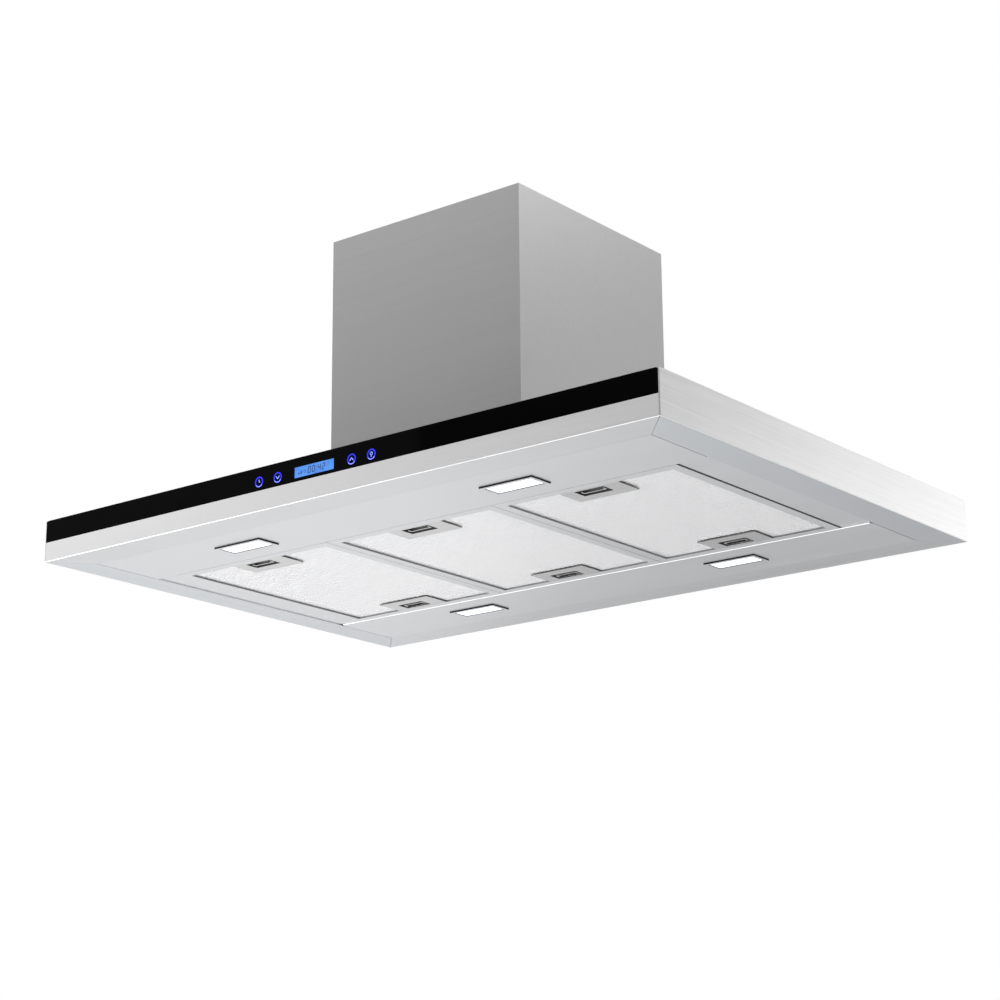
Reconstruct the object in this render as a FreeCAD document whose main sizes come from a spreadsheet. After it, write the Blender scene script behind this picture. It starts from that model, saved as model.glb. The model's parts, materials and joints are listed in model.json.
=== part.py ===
import FreeCAD, Part
import math
import os
import re
import Sketcher
from FreeCAD import Placement, Rotation, Vector

# Island range hood: a flat steel canopy with a glass control strip, three grease filters and
# four lamps below, and a square telescopic chimney above that hangs from the ceiling.
# The origin is the centre of the canopy's underside. The controls face -Y, and +Z is up.

os.makedirs("parts", exist_ok=True)
doc = FreeCAD.newDocument("island_range_hood")
sheet = doc.addObject("Spreadsheet::Sheet", "Dims")

# Driving dimensions in millimetres, and angles in degrees.
DIMENSIONS = dict(
    canopy_width=900, canopy_depth=634, canopy_height=51, gauge=1, bend_radius=1,
    side_flange=42, front_flange=45.5, corner_lip=1.2, fit_gap=0.2, return_width=12,
    mitre_gap=0.5, seam_gap=0.9,
    fascia_height=24, glass_thickness=4, glass_radius=3, ledge_depth=5.2,
    filter_shift=-5, filter_pitch=248, opening_margin=1, opening_depth=336,
    panel_upstand=22, strip_recess=1.5, flange_upstand=10,
    rail_depth=14, relief_radius=2.6,
    lamp_shift=-9, lamp_spacing=400, lamp_row=217.5, lamp_length=72, lamp_width=34,
    bezel_proud=2, bezel_rim=4.6, lamp_body_height=14, lens_thickness=2, bezel_wall=1.2,
    filter_width=247.4, filter_depth=335.2, filter_rise=0.3, filter_height=11.5,
    filter_rim=12.5, rim_thickness=2, filter_wall=0.8, top_rim=9, mesh_height=7.4, mesh_play=0.4,
    latch_shift=-2.5, latch_left=37, latch_right=42, latch_width=40, latch_thickness=1.2, latch_proud=0.1,
    recess_length=39, recess_width=18, recess_inset=6, pull_space=9.5, pull_bar=2,
    pull_leg=5, bolt_width=22, bolt_height=3,
    bolt_reach=0.2, keeper_width=30, keeper_height=6,
    control_shift=-10, control_height=34, display_width=58, display_height=12,
    key_inner=55, key_outer=83.5, key_radius=6.2, module_width=210, module_depth=18,
    chimney_size=288, chimney_height=337, chimney_gauge=1, telescope_gap=0.8,
    upper_gauge=0.8, upper_bottom=12, upper_top=2,
    intake_size=205, post_leg=20, post_gauge=2, upper_post_half=137, post_gap=0.4,
    post_height=318, frame_travel=250, slot_width=5.4, screw_radius=2.4, screw_head=4.5,
    clamp_height=300, plate_gauge=2,
    ceiling_x=200, ceiling_y=240, ceiling_hole=4.25, duct_hole=82,
    gland_radius=5, gland_x=50, gland_y=-95.7, cable_hole=9,
    fan_height=122, fan_width=190, impeller_radius=72, impeller_width=150, blade_count=36,
    blade_depth=14, blade_gauge=1.2, casing_gauge=1.2, scroll_start=80, scroll_step=7,
    motor_radius=46, motor_length=92, shaft_radius=5, shaft_play=0.05, hub_radius=14,
    inlet_radius=66, guard_ring=4,
    collar_radius=75, collar_wall=2, collar_height=40, collar_base=182, collar_rise=214,
    flap_gauge=1.2, flap_gap=1.2, pin_radius=1.5, pin_play=0.06, barrel_radius=3,
)
for row, (alias, value) in enumerate(DIMENSIONS.items(), start=1):
    sheet.set("A%d" % row, alias)
    sheet.set("B%d" % row, str(value))
    sheet.setAlias("B%d" % row, alias)
doc.recompute()

ALIAS = re.compile(r"\b(%s)\b" % "|".join(DIMENSIONS))
nodes = []


def dim(alias):
    """A driving dimension's value from the sheet."""
    return float(sheet.get(alias))


def bound(text):
    """An expression with each alias pointing at the sheet."""
    return ALIAS.sub(r"Dims.\1", text)


def bind(item, **expressions):
    for name, text in expressions.items():
        item.setExpression(name.replace("__", "."), bound(text))
    return item


def place(item, x, y, z):
    for name, text in zip("xyz", (x, y, z)):
        item.setExpression("Placement.Base." + name, bound(text))
    return item


def box(x, y, z):
    """A box between two expressions on each axis: x, y and z are (low, high) pairs."""
    item = doc.addObject("Part::Box", "block")
    for name, (low, high) in zip(("Length", "Width", "Height"), (x, y, z)):
        item.setExpression(name, bound("(%s) - (%s)" % (high, low)))
    return place(item, x[0], y[0], z[0])


def cylinder(radius, length, base, axis=Vector(0, 0, 1)):
    item = doc.addObject("Part::Cylinder", "round")
    bind(item, Radius=radius, Height=length)
    item.Placement = Placement(Vector(), Rotation(Vector(0, 0, 1), axis))
    return place(item, *base)


def fuse(*shapes):
    item = doc.addObject("Part::MultiFuse", "fused")
    item.Shapes = list(shapes)
    item.Refine = True
    return item


def cut(base, *tools):
    item = doc.addObject("Part::Cut", "cut_from")
    item.Base = base
    item.Tool = tools[0] if len(tools) == 1 else group(*tools)
    item.Refine = True
    return item


def group(*shapes):
    """Separate solids of one node."""
    item = doc.addObject("Part::Compound", "set_of")
    item.Links = list(shapes)
    return item


def mirrored(source, normal):
    item = doc.addObject("Part::Mirroring", "mirrored")
    item.Source = source
    item.Normal = normal
    return item


def rounded(source, radius, chosen):
    """Rounds the edges of source whose bounding box passes the test chosen."""
    doc.recompute()
    picked = [n for n, edge in enumerate(source.Shape.Edges, start=1) if chosen(edge.BoundBox)]
    item = doc.addObject("Part::Fillet", "rounded")
    item.Base = source
    item.Edges = [(n, radius, radius) for n in picked]
    return item


def near(a, b):
    return abs(a - b) < 0.01


def node(name, item):
    """Names a finished sub-part, which becomes one STEP file."""
    item.Label = name
    nodes.append(item)
    return item


def made(name, shape):
    """A sub-part whose shape comes straight from Part's functions."""
    item = doc.addObject("Part::Feature", name)
    item.Shape = shape
    return item


# ---------------------------------------------------------------- sketched bodies
def new_body(name):
    return doc.addObject("PartDesign::Body", name)


def plane_of(body, role):
    return next(f for f in body.Origin.OriginFeatures if f.Role == role)


def new_sketch(body, role, height):
    sketch = body.newObject("Sketcher::SketchObject", body.Name + "_sketch")
    sketch.AttachmentSupport = (plane_of(body, role), [""])
    sketch.MapMode = "FlatFace"
    sketch.setExpression("AttachmentOffset.Base.z", bound(height))
    return sketch


def outline(sketch, corners):
    """A closed straight outline through corners, given as pairs of expressions."""
    first = sketch.GeometryCount
    count = len(corners)
    spread = [Vector(math.cos(2 * math.pi * k / count), math.sin(2 * math.pi * k / count), 0)
              for k in range(count)]
    for k in range(count):
        sketch.addGeometry(Part.LineSegment(spread[k], spread[(k + 1) % count]), False)
    for k in range(count):
        joined = first + (k + 1) % count
        sketch.addConstraint(Sketcher.Constraint("Coincident", first + k, 2, joined, 1))
    for k, corner in enumerate(corners):
        for kind, text, start in zip(("DistanceX", "DistanceY"), corner, spread[k]):
            number = sketch.addConstraint(
                Sketcher.Constraint(kind, -1, 1, first + k, 1, start))
            sketch.setExpression("Constraints[%d]" % number, bound(text))
    return sketch


def rectangle(x_low, x_high, y_low, y_high):
    return [(x_low, y_low), (x_high, y_low), (x_high, y_high), (x_low, y_high)]


def pad(body, sketch, length):
    feature = body.newObject("PartDesign::Pad", body.Name + "_pad")
    feature.Profile = sketch
    feature.setExpression("Length", bound(length))
    sketch.Visibility = False
    return feature


# ---------------------------------------------------------------- places used all over
HALF_WIDTH = "canopy_width / 2"
HALF_DEPTH = "canopy_depth / 2"
FRONT_END = "(canopy_width / 2 - corner_lip - fit_gap)"
INNER_X = "(canopy_width / 2 - side_flange)"
INNER_Y = "(canopy_depth / 2 - front_flange)"
OPEN_LEFT = "(filter_shift - 1.5 * filter_pitch - opening_margin)"
OPEN_RIGHT = "(filter_shift + 1.5 * filter_pitch + opening_margin)"
HALF_OPEN = "(opening_depth / 2)"
TOP = "canopy_height"


def minus(text):
    return "-(%s)" % text


def both(text):
    """A span centred on zero."""
    return minus(text), text


# ---------------------------------------------------------------- canopy skirts
def long_skirt(is_front):
    """The front or rear fascia with its flange below, as folded from one sheet at -Y."""
    flange = doc.addObject("Part::Wedge", "flange")
    bind(flange, Xmin=minus(FRONT_END), Xmax=FRONT_END, X2min=minus(INNER_X) + " + mitre_gap / 2",
         X2max=INNER_X + " - mitre_gap / 2", Ymin="0", Ymax="front_flange - gauge",
         Zmin="0", Zmax="gauge", Z2min="0", Z2max="gauge")
    place(flange, "0", minus(HALF_DEPTH) + " + gauge", "0")
    outer = minus(HALF_DEPTH)
    lip_x = both("(" + INNER_X + " - bend_radius)")
    lip = box(lip_x, (minus(INNER_Y) + " - gauge", minus(INNER_Y)), ("0", "flange_upstand"))
    rise = "fascia_height - fit_gap" if is_front else TOP
    face = box(both(FRONT_END), (outer, outer + " + gauge"), ("0", rise))
    pieces = [flange, lip, face]
    if is_front:
        back = outer + " + ledge_depth"
        pieces.append(box(both(FRONT_END), (outer, back), (rise + " - gauge", rise)))
        pieces.append(box(both(FRONT_END), (back + " - gauge", back),
                          (rise + " - gauge", TOP + " - gauge - fit_gap")))
    else:
        pieces.append(box(both(FRONT_END), (outer, outer + " + return_width"),
                          (TOP + " - 2 * gauge - fit_gap", TOP + " - gauge - fit_gap")))
        face_top = TOP + " - gauge - fit_gap"
        face.setExpression("Height", bound(face_top))
    folded = fuse(*pieces)
    front = -dim("canopy_depth") / 2
    return rounded(folded, dim("bend_radius"), lambda b: (
        near(b.YMax, front) and near(b.ZMax, 0) and b.XLength > dim("canopy_width") / 2))


fascia = long_skirt(True)
window = box(("control_shift - display_width / 2 - 2", "control_shift + display_width / 2 + 2"),
             (minus(HALF_DEPTH) + " + gauge + fit_gap", minus(HALF_DEPTH) + " + ledge_depth + 1"),
             ("control_height - display_height / 2 - 1.5", "control_height + display_height / 2 + 1.5"))
key_places = ["control_shift %s" % side
              for side in ("- key_outer", "- key_inner", "+ key_inner", "+ key_outer")]
key_holes = [cylinder("key_radius + 1", "ledge_depth",
                      (x, minus(HALF_DEPTH) + " + gauge + fit_gap", "control_height"), Vector(0, 1, 0))
             for x in key_places]
node("front_fascia", cut(fascia, window, *key_holes))
node("rear_fascia", mirrored(long_skirt(False), Vector(0, 1, 0)))


def side_skirt():
    """The right side: web, flange with mitred ends, corner lips and a return at the top."""
    lip_edge = HALF_WIDTH + " - corner_lip"
    wedge = doc.addObject("Part::Wedge", "flange")
    wedge_end = HALF_DEPTH + " - gauge - mitre_gap"
    bind(wedge, Xmin=minus(wedge_end), Xmax=wedge_end, X2min=minus(INNER_Y) + " + mitre_gap / 2",
         X2max=INNER_Y + " - mitre_gap / 2", Ymin="0", Ymax="side_flange - corner_lip",
         Zmin="0", Zmax="gauge", Z2min="0", Z2max="gauge")
    wedge.Placement = Placement(Vector(), Rotation(Vector(0, 0, 1), 90))
    place(wedge, lip_edge, "0", "0")
    deep = both(HALF_DEPTH)
    web_top = TOP
    strip = box((lip_edge, HALF_WIDTH), deep, ("0", "gauge"))
    web = box((HALF_WIDTH + " - gauge", HALF_WIDTH), deep, ("0", web_top))
    lips = [box((lip_edge, HALF_WIDTH), span, ("0", web_top)) for span in (
        (minus(HALF_DEPTH), minus(HALF_DEPTH) + " + gauge"), (HALF_DEPTH + " - gauge", HALF_DEPTH))]
    inner = box((INNER_X, INNER_X + " + gauge"), both("(" + INNER_Y + " - bend_radius)"),
                ("0", "flange_upstand"))
    top = box((HALF_WIDTH + " - return_width", HALF_WIDTH), both(HALF_DEPTH + " - return_width - 1"),
              (TOP + " - 2 * gauge - fit_gap", TOP + " - gauge - fit_gap"))
    folded = fuse(strip, wedge, web, *lips, inner, top)
    side = dim("canopy_width") / 2
    front = dim("canopy_depth") / 2

    def outer_bend(b):
        low_side = near(b.XMin, side) and near(b.ZMax, 0)
        low_end = near(b.ZMax, 0) and near(b.YLength, 0) and near(abs(b.YMin), front)
        upright = near(b.XMin, side) and near(b.YLength, 0) and b.ZLength > 10
        return low_side or low_end or upright

    return rounded(folded, dim("bend_radius"), outer_bend)


right_side = node("right_side", side_skirt())
node("left_side", mirrored(right_side, Vector(1, 0, 0)))

top_sheet = box(both(HALF_WIDTH + " - gauge - fit_gap"),
                (minus(HALF_DEPTH) + " + ledge_depth + fit_gap", HALF_DEPTH + " - gauge - fit_gap"),
                (TOP + " - gauge", TOP))
intake = box(both("intake_size / 2"), both("intake_size / 2"), (TOP + " - 3", TOP + " + 3"))
node("canopy_top", cut(top_sheet, intake))

# ---------------------------------------------------------------- glass and controls
glass_body = new_body("glass_panel_body")
glass_sketch = new_sketch(glass_body, "XZ_Plane", HALF_DEPTH + " - glass_thickness")
outline(glass_sketch, rectangle(minus(FRONT_END), FRONT_END, "fascia_height", TOP))
glass_slab = pad(glass_body, glass_sketch, "glass_thickness")
doc.recompute()
upper_edges = ["Edge%d" % n for n, edge in enumerate(glass_slab.Shape.Edges, start=1)
               if edge.BoundBox.YLength > 1 and near(edge.BoundBox.ZMin, dim("canopy_height"))
               and near(edge.BoundBox.XLength, 0)]
glass_round = glass_body.newObject("PartDesign::Fillet", "glass_corners")
glass_round.Base = (glass_slab, upper_edges)
glass_round.setExpression("Radius", bound("glass_radius"))
node("glass_panel", glass_body)

BEHIND_GLASS = minus(HALF_DEPTH) + " + glass_thickness"
BEHIND_RISER = minus(HALF_DEPTH) + " + ledge_depth"
display = box(both("display_width / 2"), ("0", "5"), both("display_height / 2"))
place(display, "control_shift - display_width / 2", BEHIND_GLASS + " + fit_gap",
      "control_height - display_height / 2")
node("display_module", display)
key_pads = [cylinder("key_radius", "ledge_depth - glass_thickness + 3.6",
                     (x, BEHIND_GLASS + " + fit_gap", "control_height"), Vector(0, 1, 0))
            for x in key_places]
node("touch_pads", group(*key_pads))
board = box(("control_shift - module_width / 2 + 4", "control_shift + module_width / 2 - 4"),
            (BEHIND_GLASS + " + 5.4", BEHIND_GLASS + " + 7"),
            ("fascia_height + 1.5", TOP + " - 5"))
node("touch_board", board)
housing = cut(
    box(("control_shift - module_width / 2", "control_shift + module_width / 2"),
        (BEHIND_RISER, BEHIND_RISER + " + module_depth"), ("fascia_height - 0.5", TOP + " - 3")),
    box(("control_shift - module_width / 2 + 2", "control_shift + module_width / 2 - 2"),
        (BEHIND_RISER + " - 1", BEHIND_RISER + " + module_depth - 2"),
        ("fascia_height + 1", TOP + " - 4.5")))
node("control_housing", housing)

# ---------------------------------------------------------------- underside panels
lamp_places = {"left": "(lamp_shift - lamp_spacing / 2)", "right": "(lamp_shift + lamp_spacing / 2)"}
LAMP_Y = "-lamp_row"


def lamp_span(centre, size, inset="0"):
    half = "(%s / 2 - (%s))" % (size, inset)
    return "%s - %s" % (centre, half), "%s + %s" % (centre, half)


def lamp_panel():
    """The front lamp panel: a sheet folded up on both long sides, with two lamp cut-outs."""
    edge_x = INNER_X + " - seam_gap"
    front = minus(INNER_Y) + " + fit_gap"
    rear = minus(HALF_OPEN) + " - fit_gap"
    sheet_part = box(both(edge_x), (front, rear), ("0", "gauge"))
    fold_x = both(edge_x + " - bend_radius")
    front_fold = box(fold_x, (front, front + " + gauge"), ("0", "flange_upstand"))
    rear_fold = box(fold_x, (rear + " - gauge", rear), ("0", "panel_upstand"))
    folded = fuse(sheet_part, front_fold, rear_fold)
    edge = -dim("opening_depth") / 2 - dim("fit_gap")
    bent = rounded(folded, dim("bend_radius"), lambda b: (
        near(b.YMin, edge) and near(b.YMax, edge) and near(b.ZMax, 0)))
    holes = [box(lamp_span(x, "lamp_length", "bezel_rim / 2"),
                 lamp_span(LAMP_Y, "lamp_width", "bezel_rim / 2"), ("-2", "3"))
             for x in lamp_places.values()]
    keepers = [box(("%s - keeper_width / 2" % x, "%s + keeper_width / 2" % x),
                   (rear + " - 2", rear + " + 1"),
                   ("filter_rise + 4", "filter_rise + 4 + keeper_height"))
               for x in latch_places]
    notches = [cylinder("relief_radius", "panel_upstand + 4", (x, rear, "-2")) for x in both(edge_x)]
    return cut(bent, *holes, *keepers, *notches)


latch_places = ["(filter_shift + latch_shift %s)" % step
                for step in ("- filter_pitch", "", "+ filter_pitch")]
front_panel = node("front_lamp_panel", lamp_panel())
node("rear_lamp_panel", mirrored(lamp_panel(), Vector(0, 1, 0)))


def side_strip(inner, outer, inner_first):
    """A recessed strip between a side flange and the filters, folded up on both long sides."""
    span = (inner, outer) if inner_first else (outer, inner)
    deep = both(HALF_OPEN + " - fit_gap")
    base = ("strip_recess", "strip_recess + gauge")
    rise = ("strip_recess", "panel_upstand")
    plate = box(span, deep, base)
    left_fold = box((span[0], span[0] + " + gauge"), deep, rise)
    right_fold = box((span[1] + " - gauge", span[1]), deep, rise)
    corner_x = span[0] if inner_first is False else span[1]
    reliefs = [cylinder("relief_radius", "panel_upstand + 4", (corner_x, y, "-2"))
               for y in both(HALF_OPEN)]
    return cut(fuse(plate, left_fold, right_fold), *reliefs)


node("left_strip", side_strip(OPEN_LEFT + " - fit_gap", minus(INNER_X) + " + fit_gap", False))
node("right_strip", side_strip(OPEN_RIGHT + " + fit_gap", INNER_X + " - fit_gap", True))


def rail():
    """A folded rail that carries the front lamp panel and closes the plenum up to the top."""
    face = minus(HALF_OPEN) + " - gauge - 2 * fit_gap"
    long_x = both(INNER_X + " - 4")
    wall = box(long_x, (face + " - gauge", face), ("strip_recess + 2 * gauge", TOP + " - gauge - fit_gap"))
    foot = box(long_x, (face + " - rail_depth", face),
               ("strip_recess + 2 * gauge", "strip_recess + 3 * gauge"))
    head = box(long_x, (face + " - rail_depth", face),
               (TOP + " - 2 * gauge - fit_gap", TOP + " - gauge - fit_gap"))
    slots = [box(("%s - keeper_width / 2 - 1" % x, "%s + keeper_width / 2 + 1" % x),
                 (face + " - 2", face + " + 1"), ("filter_rise + 4", "filter_rise + 4 + keeper_height"))
             for x in latch_places]
    return cut(fuse(wall, foot, head), *slots)


node("front_rail", rail())
node("rear_rail", mirrored(rail(), Vector(0, 1, 0)))

# ---------------------------------------------------------------- lamps
lamp_boards = []
for row, sign in (("front", "-"), ("rear", "")):
    centre_y = "(%slamp_row)" % sign
    for side, centre_x in lamp_places.items():
        rim = box(lamp_span(centre_x, "lamp_length"), lamp_span(centre_y, "lamp_width"),
                  ("-bezel_proud", "0"))
        barrel_inset = "bezel_rim / 2 + fit_gap"
        barrel = box(lamp_span(centre_x, "lamp_length", barrel_inset),
                     lamp_span(centre_y, "lamp_width", barrel_inset), ("0", "lamp_body_height"))
        well = box(lamp_span(centre_x, "lamp_length", "bezel_rim"),
                   lamp_span(centre_y, "lamp_width", "bezel_rim"), ("-2 * bezel_proud", "lens_thickness"))
        cavity_inset = barrel_inset + " + bezel_wall"
        cavity = box(lamp_span(centre_x, "lamp_length", cavity_inset),
                     lamp_span(centre_y, "lamp_width", cavity_inset),
                     ("0", "lamp_body_height - bezel_wall"))
        shell = cut(fuse(rim, barrel), fuse(well, cavity))
        node("lamp_bezel_%s_%s" % (row, side), shell)
        lens = box(lamp_span(centre_x, "lamp_length", "bezel_rim + 0.1"),
                   lamp_span(centre_y, "lamp_width", "bezel_rim + 0.1"),
                   ("-bezel_proud + 0.4", "lens_thickness"))
        node("lamp_lens_%s_%s" % (row, side), lens)
        board = box(lamp_span(centre_x, "lamp_length", "bezel_rim + 1"),
                    lamp_span(centre_y, "lamp_width", "bezel_rim + 1"),
                    ("lamp_body_height - bezel_wall - 1.8", "lamp_body_height - bezel_wall - 0.2"))
        lamp_boards.append(board)
node("lamp_boards", group(*lamp_boards))

# ---------------------------------------------------------------- filters and latches
FILTER_LOW = "filter_rise"
FILTER_TOP = "(filter_rise + filter_height)"
HALF_FILTER = "(filter_depth / 2)"


def span_at(centre, half):
    return "%s - %s" % (centre, half), "%s + %s" % (centre, half)


def filter_frame(centre):
    """A channel frame with a hemmed rim below, open in the middle, grooved for the mesh pack."""
    half_x = "(filter_width / 2)"
    body = box(span_at(centre, half_x), both(HALF_FILTER), (FILTER_LOW, FILTER_TOP))
    below = box(("%s - filter_width / 2 + filter_rim" % centre, "%s + filter_width / 2 - filter_rim" % centre),
                both(HALF_FILTER + " - filter_rim"),
                (FILTER_LOW + " - 1", FILTER_LOW + " + rim_thickness + 1"))
    groove = box(("%s - filter_width / 2 + filter_wall" % centre,
                  "%s + filter_width / 2 - filter_wall" % centre),
                 both(HALF_FILTER + " - filter_wall"),
                 (FILTER_LOW + " + rim_thickness", FILTER_TOP + " - filter_wall"))
    above = box(("%s - filter_width / 2 + top_rim" % centre, "%s + filter_width / 2 - top_rim" % centre),
                both(HALF_FILTER + " - top_rim"), (FILTER_TOP + " - 2", FILTER_TOP + " + 1"))
    ports = []
    latch_x = "(%s + latch_shift)" % centre
    for y in (minus(HALF_FILTER), HALF_FILTER):
        ports.append(box(span_at(latch_x, "(bolt_width / 2 + 1)"), span_at(y, "filter_rim"),
                         ("filter_rise + 4.8", "filter_rise + 5.2 + bolt_height")))
    return cut(body, below, groove, above, *ports)


def mesh_pack(centre):
    """The pressed pack of metal mesh, with a pocket cleared above each latch."""
    low = FILTER_LOW + " + rim_thickness"
    pack = box(("%s - filter_width / 2 + filter_wall + mesh_play" % centre,
                "%s + filter_width / 2 - filter_wall - mesh_play" % centre),
               both(HALF_FILTER + " - filter_wall - mesh_play"), (low, low + " + mesh_height"))
    latch_x = "(%s + latch_shift)" % centre
    clear = []
    for sign in (-1, 1):
        inner = "(filter_depth / 2 - filter_rim - latch_width - 1)"
        outer = "(filter_depth / 2 + 1)"
        ends = (minus(outer), minus(inner)) if sign < 0 else (inner, outer)
        clear.append(box(span_at(latch_x, "(recess_length / 2 + 4)"), ends, (low + " - 1", low + " + 6.4")))
    return cut(pack, *clear)


PLATE_TOP = "filter_rise + latch_proud + latch_thickness"


def latch_plate(centre):
    """The front latch's finger plate: a dished cup with an open side for the pull bar."""
    latch_x = "(%s + latch_shift)" % centre
    inner = "(-filter_depth / 2 + filter_rim + latch_width)"
    outer = "(-filter_depth / 2 + filter_rim + fit_gap)"
    plate = box((latch_x + " - latch_left", latch_x + " + latch_right"), (outer, inner),
                ("filter_rise + latch_proud", PLATE_TOP))
    hole_far = outer + " + recess_inset + recess_width"
    hole = box(span_at(latch_x, "(recess_length / 2)"), (outer + " + recess_inset", hole_far),
               ("filter_rise - 1", PLATE_TOP + " + 1"))
    cup_x = span_at(latch_x, "(recess_length / 2 + 1)")
    cup = box(cup_x, (outer + " + recess_inset - 1", hole_far + " + 1"), (PLATE_TOP, "filter_rise + 8.2"))
    hollow = box(span_at(latch_x, "(recess_length / 2)"), (outer + " + recess_inset - 2", hole_far),
                 ("filter_rise - 1", "filter_rise + 7.4"))
    return cut(fuse(plate, cup), hole, hollow)


def latch_slider(centre):
    """The front latch's sliding bolt, with a U-shaped finger bar that stands in the cup."""
    latch_x = "(%s + latch_shift)" % centre
    tip = "(-filter_depth / 2 - bolt_reach)"
    bar_y = "(-filter_depth / 2 + filter_rim + fit_gap + recess_inset + pull_space)"
    bar_end = bar_y + " + pull_bar"
    bolt = box(span_at(latch_x, "(bolt_width / 2)"), (tip, bar_end),
               ("filter_rise + 5", "filter_rise + 5 + bolt_height - 1"))
    tall = ("filter_rise + 0.6", "filter_rise + 5 + bolt_height - 1")
    half_bar = "(recess_length / 2 - 4)"
    bar = box(span_at(latch_x, half_bar), (bar_y, bar_end), tall)
    leg_y = (bar_y + " - pull_leg", bar_end)
    left_leg = box((latch_x + " - " + half_bar, latch_x + " - " + half_bar + " + pull_bar"), leg_y, tall)
    right_leg = box((latch_x + " + " + half_bar + " - pull_bar", latch_x + " + " + half_bar), leg_y, tall)
    return fuse(bolt, bar, left_leg, right_leg)


for number, step in enumerate(("- filter_pitch", "", "+ filter_pitch"), start=1):
    middle = "(filter_shift %s)" % step
    node("filter_frame_%d" % number, filter_frame(middle))
    node("filter_mesh_%d" % number, mesh_pack(middle))
    front_plate = latch_plate(middle)
    node("latch_plates_%d" % number, group(front_plate, mirrored(latch_plate(middle), Vector(0, 1, 0))))
    node("latch_slider_front_%d" % number, latch_slider(middle))
    node("latch_slider_rear_%d" % number, mirrored(latch_slider(middle), Vector(0, 1, 0)))

# ---------------------------------------------------------------- chimney and hanging frame
HALF_CHIMNEY = "(chimney_size / 2)"
CHIMNEY_TOP = "(canopy_height + chimney_height)"


def square_tube(half, wall, z):
    return cut(box(both(half), both(half), z),
               box(both(half + " - " + wall), both(half + " - " + wall), (z[0] + " - 1", z[1] + " + 1")))


lower_tube = square_tube(HALF_CHIMNEY, "chimney_gauge", (TOP, CHIMNEY_TOP))
node("lower_chimney", lower_tube)
upper_half = HALF_CHIMNEY + " - chimney_gauge - telescope_gap"
UPPER_TOP = CHIMNEY_TOP + " - upper_top"
node("upper_chimney", square_tube(upper_half, "upper_gauge", (TOP + " + upper_bottom", UPPER_TOP)))


def angle_post(half, z):
    """An angle post in the +X +Y corner, with its outer faces at half."""
    leg = "(" + half + " - post_leg)"
    wall_x = box((half + " - post_gauge", half), (leg, half), z)
    wall_y = box((leg, half), (half + " - post_gauge", half), z)
    return fuse(wall_x, wall_y)


def four_corners(post):
    beside = mirrored(post, Vector(1, 0, 0))
    return [post, beside, mirrored(post, Vector(0, 1, 0)), mirrored(beside, Vector(0, 1, 0))]


LOWER_HALF = "(upper_post_half - post_gauge - post_gap)"
CLAMP_Z = "(canopy_height + clamp_height)"
SCREW_Y = "(" + LOWER_HALF + " - post_leg / 2)"
lower_post = angle_post(LOWER_HALF, (TOP, TOP + " + post_height"))
foot = box(("(" + LOWER_HALF + " - 28)", LOWER_HALF), ("(" + LOWER_HALF + " - 3 - post_leg)", LOWER_HALF),
           (TOP, TOP + " + 2"))
screw_hole = cylinder("screw_radius", "12", (LOWER_HALF + " - 6", SCREW_Y, CLAMP_Z), Vector(1, 0, 0))
lower_post_cut = cut(fuse(lower_post, foot), screw_hole)
node("lower_posts", group(*four_corners(lower_post_cut)))

upper_post = angle_post("upper_post_half", (TOP + " + 20", UPPER_TOP + " - plate_gauge"))
slot = box(("upper_post_half - 4", "upper_post_half + 2"),
           (SCREW_Y + " - slot_width / 2", SCREW_Y + " + slot_width / 2"),
           (CLAMP_Z + " - frame_travel - 4", CLAMP_Z + " + 4"))
node("upper_posts", group(*four_corners(cut(upper_post, slot))))

shank = cylinder("screw_radius - 0.1", "upper_post_half - " + LOWER_HALF + " + 6.2",
                 (LOWER_HALF + " - 6", SCREW_Y, CLAMP_Z), Vector(1, 0, 0))
head = cylinder("screw_head", "2.6", ("upper_post_half + 0.2", SCREW_Y, CLAMP_Z), Vector(1, 0, 0))
nut = box((LOWER_HALF + " - post_gauge - 3.6", LOWER_HALF + " - post_gauge"),
          (SCREW_Y + " - 4", SCREW_Y + " + 4"), (CLAMP_Z + " - 4", CLAMP_Z + " + 4"))
node("clamp_screws", group(*four_corners(fuse(shank, head, nut))))

plate_half = upper_half + " - upper_gauge - fit_gap"
plate = box(both(plate_half), both(plate_half), (UPPER_TOP + " - plate_gauge", UPPER_TOP))
duct_way = cylinder("duct_hole", "10", ("0", "0", UPPER_TOP + " - 5"))
ceiling_holes = [cylinder("ceiling_hole", "10", (x, y, UPPER_TOP + " - 5"))
                 for x in both("ceiling_x / 2") for y in both("ceiling_y / 2")]
cable_way = cylinder("cable_hole", "10", ("gland_x", "gland_y", UPPER_TOP + " - 5"))
node("ceiling_plate", cut(plate, duct_way, cable_way, *ceiling_holes))

# ---------------------------------------------------------------- blower
FAN_Y = dim("scroll_step") / 2
FAN_Z = dim("canopy_height") + dim("fan_height")
COLLAR_Z = dim("canopy_height") + dim("collar_rise")


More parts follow.
